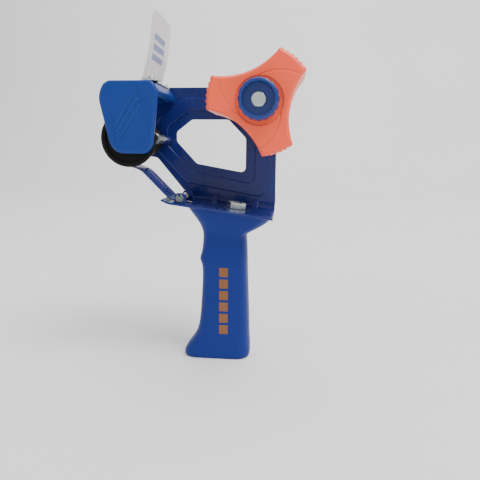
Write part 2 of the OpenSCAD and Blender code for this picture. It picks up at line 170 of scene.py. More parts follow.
def added(name: str) -> Piece:
    """Name the primitive that was just added and put its place into its mesh.

    Args:
        name: The piece's name.

    Returns:
        The piece, with its object at the origin.
    """
    piece = bpy.context.object
    piece.name = name
    piece.data.name = name
    pick(piece)
    bpy.ops.object.transform_apply(location=True, rotation=True, scale=True)
    return piece


def modify(piece: Piece, kind: str, **settings: Any) -> None:
    """Add a modifier to a piece and apply it.

    Args:
        piece: The piece to change.
        kind: The modifier's type.
        settings: The modifier's properties.
    """
    pick(piece)
    bpy.ops.object.modifier_add(type=kind)
    modifier = piece.modifiers[-1]
    for key, value in settings.items():
        setattr(modifier, key, value)
    bpy.ops.object.modifier_apply(modifier=modifier.name)


def close_up(piece: Piece, gap: float = 1e-6) -> None:
    """Merge a piece's doubled corners and point its faces outwards.

    Args:
        piece: The piece to close.
        gap: Corners closer than this become one.
    """
    with edit(piece):
        bpy.ops.mesh.select_all(action="SELECT")
        bpy.ops.mesh.remove_doubles(threshold=gap)
        bpy.ops.mesh.normals_make_consistent(inside=False)


def shade(piece: Piece, angle: float = 38.0) -> None:
    """Shade a piece smooth across its gentle edges, and keep its flat faces flat.

    Args:
        piece: The piece to shade.
        angle: Edges sharper than this stay sharp, in degrees.
    """
    pick(piece)
    bpy.ops.object.shade_smooth_by_angle(angle=math.radians(angle))
    modify(piece, "WEIGHTED_NORMAL", keep_sharp=True, weight=60)


def round_edges(piece: Piece, width: float, segments: int = 2, angle: float = 28.0) -> None:
    """Round every sharp edge of a piece.

    Args:
        piece: The piece to round.
        width: How far the rounding reaches from the edge.
        segments: Steps across the rounding.
        angle: Edges sharper than this are rounded, in degrees.
    """
    modify(piece, "BEVEL", width=width, segments=segments, limit_method="ANGLE",
           angle_limit=math.radians(angle), use_clamp_overlap=False, miter_outer="MITER_ARC")


def round_chosen(piece: Piece, width: float, segments: int, test: Callable[[Any], bool]) -> None:
    """Round the edges of a piece that pass a test.

    Args:
        piece: The piece to round.
        width: How far the rounding reaches from the edge.
        segments: Steps across the rounding.
        test: Says whether an edge is rounded.
    """
    with edit(piece, Mode.EDGE):
        if choose(piece, Mode.EDGE, test):
            bpy.ops.mesh.bevel(offset=width, segments=segments, affect="EDGES")


def shell(node: str, name: str) -> Piece:
    """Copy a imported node's mesh as a piece of its own, with its flat faces whole.

    Args:
        node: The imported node.
        name: The new piece's name.

    Returns:
        The piece, in place.
    """
    piece = bpy.data.objects.new(name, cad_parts[node].data.copy())
    piece.data.name = name
    bpy.context.scene.collection.objects.link(piece)
    pick(piece)
    if piece.data.has_custom_normals:
        bpy.ops.mesh.customdata_custom_splitnormals_clear()
    with edit(piece):
        bpy.ops.mesh.select_all(action="SELECT")
        bpy.ops.mesh.remove_doubles(threshold=2e-6)
        bpy.ops.mesh.dissolve_limited(angle_limit=math.radians(0.4))
    return piece


def turned(name: str, centre: Vector, profile: Sequence[tuple[float, float]], steps: int = 72) -> Piece:
    """Turn a closed profile about a line along Y.

    A single corner is extruded from point to point, and the outline is spun.

    Args:
        name: The piece's name.
        centre: A point on the line.
        profile: Points as a place along Y and a radius.
        steps: Faces round the piece.

    Returns:
        The turned piece.
    """
    start = Vector((centre.x + profile[0][1], profile[0][0], centre.z))
    deselect()
    bpy.ops.mesh.primitive_plane_add(size=MM, location=start)
    piece = added(name)
    with edit(piece, Mode.CORNER):
        bpy.ops.mesh.select_all(action="SELECT")
        bpy.ops.mesh.merge(type="CENTER")
        path = list(profile[1:]) + [profile[0]]
        for (y0, r0), (y1, r1) in zip(profile, path):
            bpy.ops.mesh.extrude_vertices_move(TRANSFORM_OT_translate={"value": (r1 - r0, y1 - y0, 0)})
        bpy.ops.mesh.select_all(action="SELECT")
        bpy.ops.mesh.spin(steps=steps, angle=math.tau, center=centre, axis=(0, 1, 0))
    close_up(piece, 2e-6)
    return piece


def wound(name: str, centre: Vector, radius: float, wire: float, pitch: float, turns: float,
          start_angle: float = 0.0) -> Piece:
    """Wind a round wire into a coil about a line along Y.

    Args:
        name: The piece's name.
        centre: The middle of the coil's first turn.
        radius: From the coil's line to the middle of the wire.
        wire: The wire's thickness.
        pitch: How far each turn moves along Y.
        turns: How many turns.
        start_angle: Where the wire starts round Y, in degrees.

    Returns:
        The coil, with closed ends.
    """
    deselect()
    bpy.ops.mesh.primitive_circle_add(vertices=12, radius=wire / 2, location=centre)
    piece = bpy.context.object
    piece.name = name
    with edit(piece, Mode.CORNER):
        bpy.ops.mesh.select_all(action="SELECT")
        bpy.ops.transform.translate(value=(radius, 0, 0))
    whole = max(1, math.floor(turns))
    modify(piece, "SCREW", axis="Y", angle=math.tau * turns / whole, screw_offset=pitch * turns / whole,
           iterations=whole, steps=28, render_steps=28, use_merge_vertices=False)
    piece.rotation_euler = (0, math.radians(start_angle), 0)
    piece = added(name)
    close_up(piece)
    with edit(piece, Mode.EDGE):
        choose(piece, Mode.EDGE, lambda e: e.is_boundary)
        bpy.ops.mesh.edge_face_add()
        bpy.ops.mesh.select_all(action="SELECT")
        bpy.ops.mesh.normals_make_consistent(inside=False)
    return piece


# ---------- shader node groups ----------


class Nodes:
    """Adds and joins the nodes of one tree."""

    def __init__(self, tree: bpy.types.NodeTree) -> None:
        """Keep the tree and clear it.

        Args:
            tree: The node tree to fill.
        """
        self.tree = tree
        self.tree.nodes.clear()

    def add(self, kind: str, inputs: dict[Any, Any] | None = None, **settings: Any) -> bpy.types.Node:
        """Add a node.

        Args:
            kind: The node's type.
            inputs: Values or sockets for its inputs, by name or number.
            settings: Its properties.

        Returns:
            The node.
        """
        node = self.tree.nodes.new(kind)
        node.location = (len(self.tree.nodes) * 180, 0)
        for key, value in settings.items():
            setattr(node, key, value)
        for key, value in (inputs or {}).items():
            if isinstance(value, bpy.types.NodeSocket):
                self.tree.links.new(value, node.inputs[key])
            else:
                node.inputs[key].default_value = value
        return node

    def sum(self, operation: str, first: Any, second: Any = 0.0, third: Any = 0.0) -> bpy.types.NodeSocket:
        """Work out one number.

        Args:
            operation: The Math node's operation.
            first: A value or socket.
            second: A value or socket.
            third: A value or socket.

        Returns:
            The result's socket.
        """
        return self.add("ShaderNodeMath", {0: first, 1: second, 2: third}, operation=operation).outputs[0]

    def spread(self, value: Any, low: Any, high: Any, start: float = 0.0,
               stop: float = 1.0) -> bpy.types.NodeSocket:
        """Map a value from one range to another.

        Args:
            value: The socket to map.
            low: The result at start.
            high: The result at stop.
            start: The value that gives low.
            stop: The value that gives high.

        Returns:
            The mapped socket.
        """
        names = {"Value": value, "From Min": start, "From Max": stop, "To Min": low, "To Max": high}
        return self.add("ShaderNodeMapRange", names).outputs[0]

    def blend(self, share: Any, first: Any, second: Any) -> bpy.types.NodeSocket:
        """Mix two colours.

        Args:
            share: How much of the second, as a value or socket.
            first: The colour at 0.
            second: The colour at 1.

        Returns:
            The mixed colour's socket.
        """
        node = self.add("ShaderNodeMix", {0: share, 6: first, 7: second}, data_type="RGBA")
        return node.outputs[2]

    def group(self, tree: bpy.types.NodeTree, **values: Any) -> bpy.types.Node:
        """Place a node group.

        Args:
            tree: The group.
            values: Its inputs, by name.

        Returns:
            The group's node.
        """
        node = self.add("ShaderNodeGroup", node_tree=tree)
        for key, value in values.items():
            node.inputs[key].default_value = value
        return node


def new_group(name: str, takes: dict[str, float], gives: dict[str, str],
              fill: Callable[[Nodes, bpy.types.Node], dict[str, bpy.types.NodeSocket]]) -> bpy.types.NodeTree:
    """Make a shader node group once.

    Args:
        name: The group's name.
        takes: Its inputs and their usual values.
        gives: Its outputs and their socket types.
        fill: Builds the inside and returns each output's socket.

    Returns:
        The group.
    """
    if name in bpy.data.node_groups:
        return bpy.data.node_groups[name]
    tree = bpy.data.node_groups.new(name, "ShaderNodeTree")
    for key, value in takes.items():
        tree.interface.new_socket(key, in_out="INPUT", socket_type="NodeSocketFloat").default_value = value
    for key, kind in gives.items():
        tree.interface.new_socket(key, in_out="OUTPUT", socket_type=kind)
    nodes = Nodes(tree)
    made = fill(nodes, nodes.add("NodeGroupInput"))
    nodes.add("NodeGroupOutput", made)
    return tree


def mottle() -> bpy.types.NodeTree:
    """Slow uneven patches, for handling marks and uneven gloss.

    Returns:
        The node group.
    """

    def fill(n: Nodes, given: bpy.types.Node) -> dict[str, bpy.types.NodeSocket]:
        """Join the nodes of the patches.

        Args:
            n: The group's nodes.
            given: Its input node.

        Returns:
            The output sockets, by name.
        """
        place = n.add("ShaderNodeTexCoord").outputs["Object"]
        scale = n.sum("DIVIDE", 1.0, given.outputs["Size"])
        noise = n.add("ShaderNodeTexNoise",
                      {"Vector": place, "Scale": scale, "Detail": 4.0, "Roughness": 0.6})
        return {"Value": n.spread(noise.outputs[0], given.outputs["Low"], given.outputs["High"], 0.32, 0.68)}

    return new_group("Mottle", {"Size": 0.02, "Low": 0.0, "High": 1.0}, {"Value": "NodeSocketFloat"}, fill)


def moulded_grain() -> bpy.types.NodeTree:
    """The fine pebbled surface that a spark-eroded mould leaves.

    Returns:
        The node group.
    """

    def fill(n: Nodes, given: bpy.types.Node) -> dict[str, bpy.types.NodeSocket]:
        """Join the nodes of the grain.

        Args:
            n: The group's nodes.
            given: Its input node.

        Returns:
            The output sockets, by name.
        """
        place = n.add("ShaderNodeTexCoord").outputs["Object"]
        scale = n.sum("DIVIDE", 1.0, given.outputs["Size"])
        cells = n.add("ShaderNodeTexVoronoi", {"Vector": place, "Scale": scale, "Randomness": 1.0},
                      feature="SMOOTH_F1")
        noise = n.add("ShaderNodeTexNoise", {"Vector": place, "Scale": scale, "Detail": 3.0})
        return {"Height": n.sum("MULTIPLY_ADD", cells.outputs["Distance"], 0.6, noise.outputs[0])}

    return new_group("Moulded grain", {"Size": 0.0005}, {"Height": "NodeSocketFloat"}, fill)


def painted_edge_highlight() -> bpy.types.NodeTree:
    """A mask that is bright on corners, for a highlight painted along every edge and broken up by noise.

    Returns:
        The node group.
    """

    def fill(n: Nodes, given: bpy.types.Node) -> dict[str, bpy.types.NodeSocket]:
        """Join the nodes of the mask.

        Args:
            n: The group's nodes.
            given: Its input node.

        Returns:
            The output sockets, by name.
        """
        # painted highlight: corners are found where the rounded normal turns away from the true one
        rounded = n.add("ShaderNodeBevel", {"Radius": given.outputs["Reach"]}, samples=6).outputs[0]
        true = n.add("ShaderNodeNewGeometry").outputs["Normal"]
        alike = n.add("ShaderNodeVectorMath", {0: rounded, 1: true}, operation="DOT_PRODUCT").outputs["Value"]
        place = n.add("ShaderNodeTexCoord").outputs["Object"]
        noise = n.add("ShaderNodeTexNoise", {"Vector": place, "Scale": 260.0, "Detail": 4.0})
        bend = n.spread(alike, 1.0, 0.0, 0.86, 0.995)
        broken = n.spread(noise.outputs[0], 0.25, 1.0, 0.35, 0.62)
        return {"Mask": n.sum("MULTIPLY", bend, broken)}

    return new_group("Painted edge highlight", {"Reach": 0.0006}, {"Mask": "NodeSocketFloat"}, fill)


def brushing() -> bpy.types.NodeTree:
    """Fine lines along one direction, from grinding or rolling.

    Returns:
        The node group.
    """

    def fill(n: Nodes, given: bpy.types.Node) -> dict[str, bpy.types.NodeSocket]:
        """Join the nodes of the lines.

        Args:
            n: The group's nodes.
            given: Its input node.

        Returns:
            The output sockets, by name.
        """
        place = n.add("ShaderNodeTexCoord").outputs["Object"]
        stretch = n.add("ShaderNodeCombineXYZ", {0: given.outputs["Along X"], 1: given.outputs["Along Y"],
                                                 2: given.outputs["Along Z"]}).outputs[0]
        drawn = n.add("ShaderNodeVectorMath", {0: place, 1: stretch}, operation="MULTIPLY").outputs[0]
        noise = n.add("ShaderNodeTexNoise", {"Vector": drawn, "Scale": 1.0, "Detail": 5.0, "Roughness": 0.7})
        return {"Value": n.spread(noise.outputs[0], 0.0, 1.0, 0.3, 0.7)}

    takes = {"Along X": 1000.0, "Along Y": 1000.0, "Along Z": 1000.0}
    return new_group("Brushing", takes, {"Value": "NodeSocketFloat"}, fill)


def printed_blocks() -> bpy.types.NodeTree:
    """A row of plain printed blocks along Z, with its middle at the pattern's own zero.

    Returns:
        The node group.
    """

    def fill(n: Nodes, given: bpy.types.Node) -> dict[str, bpy.types.NodeSocket]:
        """Join the nodes of the blocks.

        Args:
            n: The group's nodes.
            given: Its input node.

        Returns:
            The output sockets, by name.
        """
        place = n.add("ShaderNodeTexCoord").outputs["Object"]
        parts = n.add("ShaderNodeSeparateXYZ", {0: place})
        across = n.sum("SUBTRACT", parts.outputs[0], given.outputs["Centre X"])
        deep = n.sum("SUBTRACT", parts.outputs[1], given.outputs["Centre Y"])
        along = n.sum("SUBTRACT", parts.outputs[2], given.outputs["Centre Z"])
        inside_x = n.sum("LESS_THAN", n.sum("ABSOLUTE", across), given.outputs["Half width"])
        inside_y = n.sum("LESS_THAN", n.sum("ABSOLUTE", deep), given.outputs["Half depth"])
        inside_z = n.sum("LESS_THAN", n.sum("ABSOLUTE", along), given.outputs["Half length"])
        step = n.sum("DIVIDE", n.sum("ADD", along, given.outputs["Half length"]), given.outputs["Pitch"])
        filled = n.sum("LESS_THAN", n.sum("FRACT", step), given.outputs["Fill"])
        area = n.sum("MULTIPLY", n.sum("MULTIPLY", inside_x, inside_y), inside_z)
        return {"Mask": n.sum("MULTIPLY", area, filled)}

    takes = {"Centre X": 0.0, "Centre Y": 0.0, "Centre Z": 0.0, "Half width": 0.004, "Half depth": 0.004,
             "Half length": 0.02, "Pitch": 0.01, "Fill": 0.7}
    return new_group("Printed blocks", takes, {"Mask": "NodeSocketFloat"}, fill)


# ---------- finishes ----------


@dataclass(frozen=True)
class Finish:
    """A surface that pieces are dressed in.

    Attributes:
        name: The material's name.
        slot: The record's slot; not used.
        colour: Its linear colour.
        smooth: Its lowest roughness.
        rough: Its highest roughness.
        shine: How strongly it mirrors when seen square on.
    """

    name: str
    slot: Slot
    colour: Colour
    smooth: float
    rough: float
    shine: float = 0.5

    def material(self) -> bpy.types.Material:
        """Make the finish's material, or find the one already made.

        Returns:
            The material.
        """
        if self.name in bpy.data.materials:
            return bpy.data.materials[self.name]
        made = bpy.data.materials.new(self.name)
        made.use_nodes = True
        made.diffuse_color = (*self.colour, 1.0)
        nodes = Nodes(made.node_tree)
        shader = nodes.add("ShaderNodeBsdfPrincipled")
        nodes.add("ShaderNodeOutputMaterial", {"Surface": shader.outputs[0]})
        self.fill(nodes, shader)
        return made

    def fill(self, n: Nodes, shader: bpy.types.Node) -> None:
        """Set and join the shader's inputs.

        Args:
            n: The material's nodes.
            shader: Its Principled BSDF.
        """
        self.tint(n, shader, 0.86, 0.02)

    def tint(self, n: Nodes, shader: bpy.types.Node, darkest: float, size: float) -> bpy.types.NodeSocket:
        """Give the shader an uneven colour and an uneven gloss.

        Args:
            n: The material's nodes.
            shader: Its Principled BSDF.
            darkest: The share of the colour that is left in the darkest patches.
            size: The patches' size.

        Returns:
            The colour's socket.
        """
        patches = n.group(mottle(), Size=size).outputs[0]
        dark = tuple(part * darkest for part in self.colour)
        colour = n.blend(patches, (*dark, 1.0), (*self.colour, 1.0))
        gloss = n.group(mottle(), Size=size * 0.45, Low=self.smooth, High=self.rough).outputs[0]
        n.tree.links.new(colour, shader.inputs["Base Color"])
        n.tree.links.new(gloss, shader.inputs["Roughness"])
        shader.inputs["Specular IOR Level"].default_value = self.shine
        return colour

    def bumps(self, n: Nodes, shader: bpy.types.Node, height: bpy.types.NodeSocket, depth: float,
              strength: float) -> None:
        """Raise the surface by a height.

        Args:
            n: The material's nodes.
            shader: Its Principled BSDF.
            height: The height's socket.
            depth: The depth of the bumps.
            strength: How strongly they show.
        """
        names = {"Height": height, "Distance": depth, "Strength": strength}
        n.tree.links.new(n.add("ShaderNodeBump", names).outputs[0], shader.inputs["Normal"])


@dataclass(frozen=True)
class GlossPaint(Finish):
    """Stoved gloss enamel on pressed steel, with a highlight painted along its edges.

    Attributes:
        edge_highlight: The lighter blue painted along its edges as a highlight.
    """

    edge_highlight: Colour = (0.03, 0.08, 0.36)

    def fill(self, n: Nodes, shader: bpy.types.Node) -> None:
        """Set and join the shader's inputs for enamel.

        Args:
            n: The material's nodes.
            shader: Its Principled BSDF.
        """
        colour = self.tint(n, shader, 0.8, 0.03)
        # painted highlight: every edge is blended towards a lighter blue
        edges = n.group(painted_edge_highlight(), Reach=0.0007).outputs[0]
        highlighted_colour = n.blend(n.sum("MULTIPLY", edges, 0.5), colour, (*self.edge_highlight, 1.0))
        n.tree.links.new(highlighted_colour, shader.inputs["Base Color"])
        place = n.add("ShaderNodeTexCoord").outputs["Object"]
        peel = n.add("ShaderNodeTexNoise", {"Vector": place, "Scale": 520.0, "Detail": 2.0})
        self.bumps(n, shader, peel.outputs[0], 0.00004, 0.35)
        shader.inputs["Coat Weight"].default_value = 0.25
        shader.inputs["Coat Roughness"].default_value = 0.08


@dataclass(frozen=True)
class Moulded(Finish):
    """Injection-moulded plastic.

    Attributes:
        grain: The size of its pebbles.
        depth: Their depth.
        rim_highlight: The lighter colour painted along its edges as a highlight.
        glow: How much light passes under its surface.
        coat: How glossy its skin is.
    """

    grain: float = 0.0006
    depth: float = 0.00003
    rim_highlight: Colour = (0.1, 0.2, 0.5)
    glow: float = 0.0
    coat: float = 0.1

    def fill(self, n: Nodes, shader: bpy.types.Node) -> None:
        """Set and join the shader's inputs for plastic.

        Args:
            n: The material's nodes.
            shader: Its Principled BSDF.
        """
        colour = self.tint(n, shader, 0.9, 0.035)
        # painted highlight: every edge is blended towards the lighter rim colour
        edges = n.group(painted_edge_highlight(), Reach=0.0008).outputs[0]
        highlighted_colour = n.blend(n.sum("MULTIPLY", edges, 0.4), colour, (*self.rim_highlight, 1.0))
        n.tree.links.new(self.printed(n, highlighted_colour), shader.inputs["Base Color"])
        self.bumps(n, shader, n.group(moulded_grain(), Size=self.grain).outputs[0], self.depth, 0.5)
        shader.inputs["Coat Weight"].default_value = self.coat
        shader.inputs["Coat Roughness"].default_value = 0.25
        shader.inputs["Subsurface Weight"].default_value = self.glow
        shader.inputs["Subsurface Radius"].default_value = (1.0, 0.35, 0.15)
        shader.inputs["Subsurface Scale"].default_value = 0.002

    def printed(self, n: Nodes, colour: bpy.types.NodeSocket) -> bpy.types.NodeSocket:
        """The colour with any print on it.

        Args:
            n: The material's nodes.
            colour: The bare colour.

        Returns:
            The colour's socket.
        """
        return colour


@dataclass(frozen=True)
class PrintedHandle(Moulded):
    """The handle's plastic, with a row of plain blocks printed down its near side.

    Attributes:
        ink: The print's colour.
    """

    ink: Colour = (0.22, 0.09, 0.035)

    def printed(self, n: Nodes, colour: bpy.types.NodeSocket) -> bpy.types.NodeSocket:
        """The colour with the row of blocks.

        Args:
            n: The material's nodes.
            colour: The bare colour.

        Returns:
            The colour's socket.
        """
        row = {"Centre X": 0.0062, "Centre Y": -0.014, "Centre Z": 0.0485, "Half width": 0.0034,
               "Half depth": 0.0045, "Half length": 0.0275, "Pitch": 0.0092, "Fill": 0.78}
        return n.blend(n.group(printed_blocks(), **row).outputs[0], colour, (*self.ink, 1.0))


@dataclass(frozen=True)
class Metal(Finish):
    """Plated, drawn or ground steel.

    Attributes:
        lines: How fine its lines are along X, Y and Z, in lines a metre.
        depth: Their depth.
        tarnish: The colour of its duller patches.
    """

    lines: Colour = (900.0, 900.0, 900.0)
    depth: float = 0.00001
    tarnish: Colour = (0.5, 0.55, 0.52)

    def fill(self, n: Nodes, shader: bpy.types.Node) -> None:
        """Set and join the shader's inputs for steel.

        Args:
            n: The material's nodes.
            shader: Its Principled BSDF.
        """
        self.tint(n, shader, 0.85, 0.006)
        patches = n.group(mottle(), Size=0.004).outputs[0]
        worked = n.group(brushing(), **dict(zip(("Along X", "Along Y", "Along Z"), self.lines)))
        colour = n.blend(n.sum("MULTIPLY", patches, 0.6), (*self.colour, 1.0), (*self.tarnish, 1.0))
        lined = n.blend(n.sum("MULTIPLY", worked.outputs[0], 0.25), colour, (0.3, 0.31, 0.32, 1.0))
        gloss = n.spread(worked.outputs[0], self.smooth, self.rough)
        n.tree.links.new(lined, shader.inputs["Base Color"])
        n.tree.links.new(gloss, shader.inputs["Roughness"])
        shader.inputs["Metallic"].default_value = 1.0
        self.bumps(n, shader, worked.outputs[0], self.depth, 0.5)


@dataclass(frozen=True)
class Ground(Finish):
    """Rubber or fibre, ground or pressed to a dull face.

    Attributes:
        speck: The colour of its pale specks.
        grain: The size of its grain.
    """

    speck: Colour = (0.09, 0.09, 0.09)
    grain: float = 0.0004

    def fill(self, n: Nodes, shader: bpy.types.Node) -> None:
        """Set and join the shader's inputs for rubber or fibre.

        Args:
            n: The material's nodes.
            shader: Its Principled BSDF.
        """
        colour = self.tint(n, shader, 0.75, 0.012)
        flecks = n.group(mottle(), Size=self.grain * 1.6, Low=-1.6, High=1.0).outputs[0]
        fleck = n.sum("MULTIPLY", n.sum("MAXIMUM", flecks, 0.0), 0.6)
        n.tree.links.new(n.blend(fleck, colour, (*self.speck, 1.0)), shader.inputs["Base Color"])
        self.bumps(n, shader, n.group(moulded_grain(), Size=self.grain).outputs[0], 0.00006, 0.7)


@dataclass(frozen=True)
class Frosted(Finish):
    """Frosted clear sheet with plain printed bars.

    Attributes:
        ink: The print's colour.
    """

    ink: Colour = (0.12, 0.2, 0.5)

    def fill(self, n: Nodes, shader: bpy.types.Node) -> None:
        """Set and join the shader's inputs for frosted sheet.

        Args:
            n: The material's nodes.
            shader: Its Principled BSDF.
        """
        colour = self.tint(n, shader, 0.93, 0.02)
        rows = {"Centre X": -0.044, "Centre Y": -0.002, "Centre Z": 0.2365, "Half width": 0.02,
                "Half depth": 0.0145, "Half length": 0.0092, "Pitch": 0.0068, "Fill": 0.62}
        bars = n.sum("MULTIPLY", n.group(printed_blocks(), **rows).outputs[0], 0.75)
        n.tree.links.new(n.blend(bars, colour, (*self.ink, 1.0)), shader.inputs["Base Color"])
        self.bumps(n, shader, n.group(moulded_grain(), Size=0.0005).outputs[0], 0.00003, 0.4)
        shader.inputs["Transmission Weight"].default_value = 0.55
        shader.inputs["IOR"].default_value = 1.2


# The lighter edge colours given to the finishes below are painted highlights along every corner.
FRAME_PAINT = GlossPaint("stoved blue enamel", Slot.FRAME_PAINT, (0.009, 0.017, 0.14), 0.2, 0.34, 0.2,
                         edge_highlight=(0.02, 0.07, 0.4))
HANDLE_PLASTIC = PrintedHandle("handle plastic", Slot.HANDLE, (0.004, 0.019, 0.18), 0.42, 0.55, 0.22,
                               grain=0.0008, depth=0.00005, rim_highlight=(0.03, 0.1, 0.38), coat=0.0)
GUARD_PLASTIC = Moulded("guard plastic", Slot.GUARD, (0.005, 0.034, 0.21), 0.3, 0.4, 0.25,
                        rim_highlight=(0.03, 0.15, 0.42), coat=0.05)
HUB_PLASTIC = Moulded("hub plastic", Slot.HUB, (1.0, 0.105, 0.04), 0.34, 0.44, 0.3,
                      rim_highlight=(1.0, 0.28, 0.15), glow=0.12, coat=0.15)
KNOB_PLASTIC = Moulded("knob plastic", Slot.KNOB, (0.008, 0.028, 0.17), 0.28, 0.38, 0.3,
                       rim_highlight=(0.05, 0.14, 0.42), coat=0.15)
BLACK_PLASTIC = Moulded("roller plastic", Slot.BLACK, (0.006, 0.0055, 0.005), 0.38, 0.5, 0.1,
                        rim_highlight=(0.025, 0.025, 0.025), coat=0.0)
NYLON = Moulded("natural nylon", Slot.NYLON, (0.78, 0.74, 0.62), 0.4, 0.5, rim_highlight=(0.85, 0.82, 0.72),
                glow=0.2)
RUBBER = Ground("ground rubber", Slot.RUBBER, (0.009, 0.009, 0.01), 0.68, 0.85, 0.25)
FIBRE = Ground("friction fibre", Slot.FIBRE, (0.22, 0.1, 0.045), 0.75, 0.9, speck=(0.4, 0.26, 0.14))
ZINC = Metal("bright zinc plate", Slot.ZINC, (0.52, 0.6, 0.57), 0.2, 0.36, lines=(700.0, 700.0, 700.0),
            tarnish=(0.36, 0.43, 0.41))
# painted shade: a darkened copy of the zinc for the stud, hinge pin and clips that sit in shade; its lines
# are turned
SHADED_ZINC = Metal("zinc darkened for shade", Slot.ZINC, (0.16, 0.185, 0.19), 0.34, 0.5,
                     lines=(200.0, 3000.0, 200.0), tarnish=(0.14, 0.155, 0.155))
BLADE_STEEL = Metal("ground blade steel", Slot.BLADE, (0.78, 0.81, 0.84), 0.2, 0.4,
                    lines=(4000.0, 120.0, 4000.0), tarnish=(0.68, 0.71, 0.74))
SPRING_WIRE = Metal("drawn spring wire", Slot.SPRING, (0.46, 0.46, 0.47), 0.24, 0.4,
                    tarnish=(0.3, 0.29, 0.27))
FLAP_SHEET = Frosted("frosted sheet", Slot.FLAP, (0.9, 0.9, 0.9), 0.35, 0.5)


def dress(piece: Piece, finish: Finish, body: Body | None, *nodes: str) -> Piece:
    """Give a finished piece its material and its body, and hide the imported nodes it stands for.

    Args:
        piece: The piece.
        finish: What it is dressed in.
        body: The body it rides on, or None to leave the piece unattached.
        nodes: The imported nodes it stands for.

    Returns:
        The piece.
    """
    piece.data.materials.clear()
    piece.data.materials.append(finish.material())
    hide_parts(*nodes)
    if body is not None:
        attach(piece, body.value)
    LOG.info("%s: %s, %d faces", piece.name, finish.name, len(piece.data.polygons))
    return piece


@dataclass(frozen=True)
class Fitting:
    """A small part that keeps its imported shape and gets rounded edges.

    Attributes:
        node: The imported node.
        name: The piece's name.
        finish: What it is dressed in.
        body: The body it rides on.
        width: How far its edges are rounded.
        segments: Steps across the rounding.
    """

    node: str
    name: str
    finish: Finish
    body: Body
    width: float = 0.25 * MM
    segments: int = 2

    def build(self) -> Piece:
        """Copy, round, shade and dress the part.

        Returns:
            The piece.
        """
        piece = shell(self.node, self.name)
        round_edges(piece, self.width, self.segments)
        shade(piece)
        return dress(piece, self.finish, self.body, self.node)


@dataclass(frozen=True)
class Rail:
    """The sloping flange that the handle hangs from.

    Attributes:
        slope: Its fall towards the back, in degrees.
        height: Its upper face above the handle's centre.
        sheet: Its thickness.
        bolt: The handle bolt's place along X.
    """

    slope: float = 7.8
    height: float = 0.121
    sheet: float = 0.0015
    bolt: float = 0.014

    @property
    def normal(self) -> Vector:
        """The direction out of the flange's upper face."""
        return Vector((math.sin(math.radians(self.slope)), 0, math.cos(math.radians(self.slope))))

    def place(self, x: float, above: float) -> Vector:
        """A point over the flange.

        Args:
            x: The place along X on the upper face.
            above: The distance from the upper face, along its normal.

        Returns:
            The point.
        """
        return Vector((x, 0, self.height - x * math.tan(math.radians(self.slope)))) + self.normal * above


RAIL = Rail()


# ---------- sub-assemblies ----------


@dataclass
class SideFrame:
    """The pressed steel frame.

    Attributes:
        edge: Rounding of the sheet's edges.
        band: Rounding of the embossed band.
        emboss: Height of the band.
        foot: Height above the flange's face at which the band may begin.
        sill: Height of the window's lower edge above the flange's face.
    """

    edge: float = 0.3 * MM
    band: float = 0.62 * MM
    emboss: float = 1.0 * MM
    foot: float = 2 * MM
    sill: float = 12 * MM

    def build(self) -> None:
        """Build the frame, with its broad faces parted through the window so that they round cleanly."""
        low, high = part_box("frame_plate")
        outer, inner = high[1], high[1] - RAIL.sheet
        rims = (inner - self.emboss, outer - self.emboss)
        lowest = RAIL.height + self.foot

        def on_band(edge: Any) -> bool:
            """Whether an edge is a corner of the embossed band.

            Args:
                edge: The edge.

            Returns:
                True if it is.
            """
            flat = any(all(abs(v.co.y - y) < FLUSH for v in edge.verts) for y in rims)
            turn = len(edge.link_faces) == 2 and edge.calc_face_angle(0.0) > SQUARE
            return flat and turn and min(v.co.z for v in edge.verts) > lowest

        piece = shell("frame_plate", "side_frame")
        middle = Vector((low[0] + high[0], 0, RAIL.height + self.sill + high[2])) / 2
        with edit(piece):
            for normal in ((1, 0, 0), (0, 0, 1)):
                bpy.ops.mesh.select_all(action="SELECT")
                bpy.ops.mesh.bisect(plane_co=middle, plane_no=normal)
        round_chosen(piece, self.band, 3, on_band)
        round_edges(piece, self.edge)
        shade(piece)
        dress(piece, FRAME_PAINT, Body.FRAME, "frame_plate")


@dataclass(frozen=True)
class Level:
    """One level of the handle.

    Attributes:
        height: Its height.
        front: Its front edge along X.
        back: Its back edge along X.
        width: Its width along Y.
    """

    height: float
    front: float
    back: float
    width: float

    @property
    def middle(self) -> float:
        """The level's middle along X."""
        return (self.front + self.back) / 2

    @property
    def length(self) -> float:
        """The level's length along X."""
        return self.back - self.front


